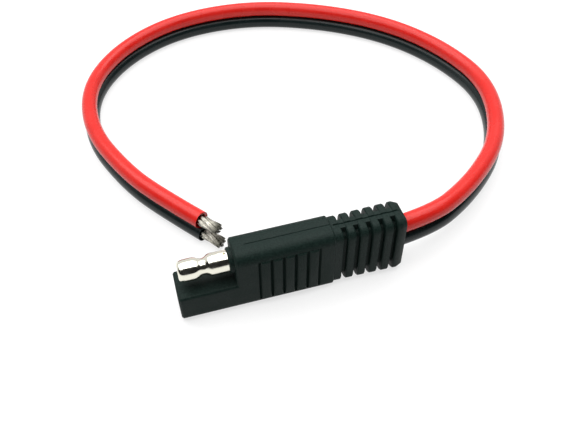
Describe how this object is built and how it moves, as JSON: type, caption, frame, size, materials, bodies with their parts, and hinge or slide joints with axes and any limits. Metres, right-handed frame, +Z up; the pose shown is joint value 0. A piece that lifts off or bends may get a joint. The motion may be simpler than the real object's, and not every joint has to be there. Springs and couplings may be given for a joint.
{
  "type": "solar cable connector",
  "caption": "Moulded quick-disconnect connector with a bare bullet pin above a shrouded socket, a ribbed strain relief and a short red and black cord with stripped ends.",
  "frame": {"origin": "under the middle of the connector's moulding, on the surface that it stands on", "axes": "+X along the connector from its mating face to its cord exit, +Y through its thickness, +Z up from the socket to the pin"},
  "size_m": [0.1052, 0.1062, 0.0156],
  "materials": {
    "moulded_pvc_black": "satin",
    "carrier_plastic": "matt",
    "nickel_plated_brass": "polished",
    "tinned_copper": "satin",
    "jacket_pvc_red": "gloss",
    "jacket_pvc_black": "gloss"
  },
  "bodies": {
    "root": {"overmould": "moulded_pvc_black", "contact_carrier": "carrier_plastic", "pin_contact": "nickel_plated_brass", "socket_contact": "nickel_plated_brass", "red_conductor": "tinned_copper", "black_conductor": "tinned_copper", "red_jacket": "jacket_pvc_red", "black_jacket": "jacket_pvc_black", "red_strand_bunch_1": "tinned_copper", "red_strand_bunch_2": "tinned_copper", "red_strand_bunch_3": "tinned_copper", "red_strand_bunch_4": "tinned_copper", "red_strand_bunch_5": "tinned_copper", "red_strand_bunch_6": "tinned_copper", "red_strand_bunch_7": "tinned_copper", "black_strand_bunch_1": "tinned_copper", "black_strand_bunch_2": "tinned_copper", "black_strand_bunch_3": "tinned_copper", "black_strand_bunch_4": "tinned_copper", "black_strand_bunch_5": "tinned_copper", "black_strand_bunch_6": "tinned_copper", "black_strand_bunch_7": "tinned_copper"}
  },
  "joints": []
}
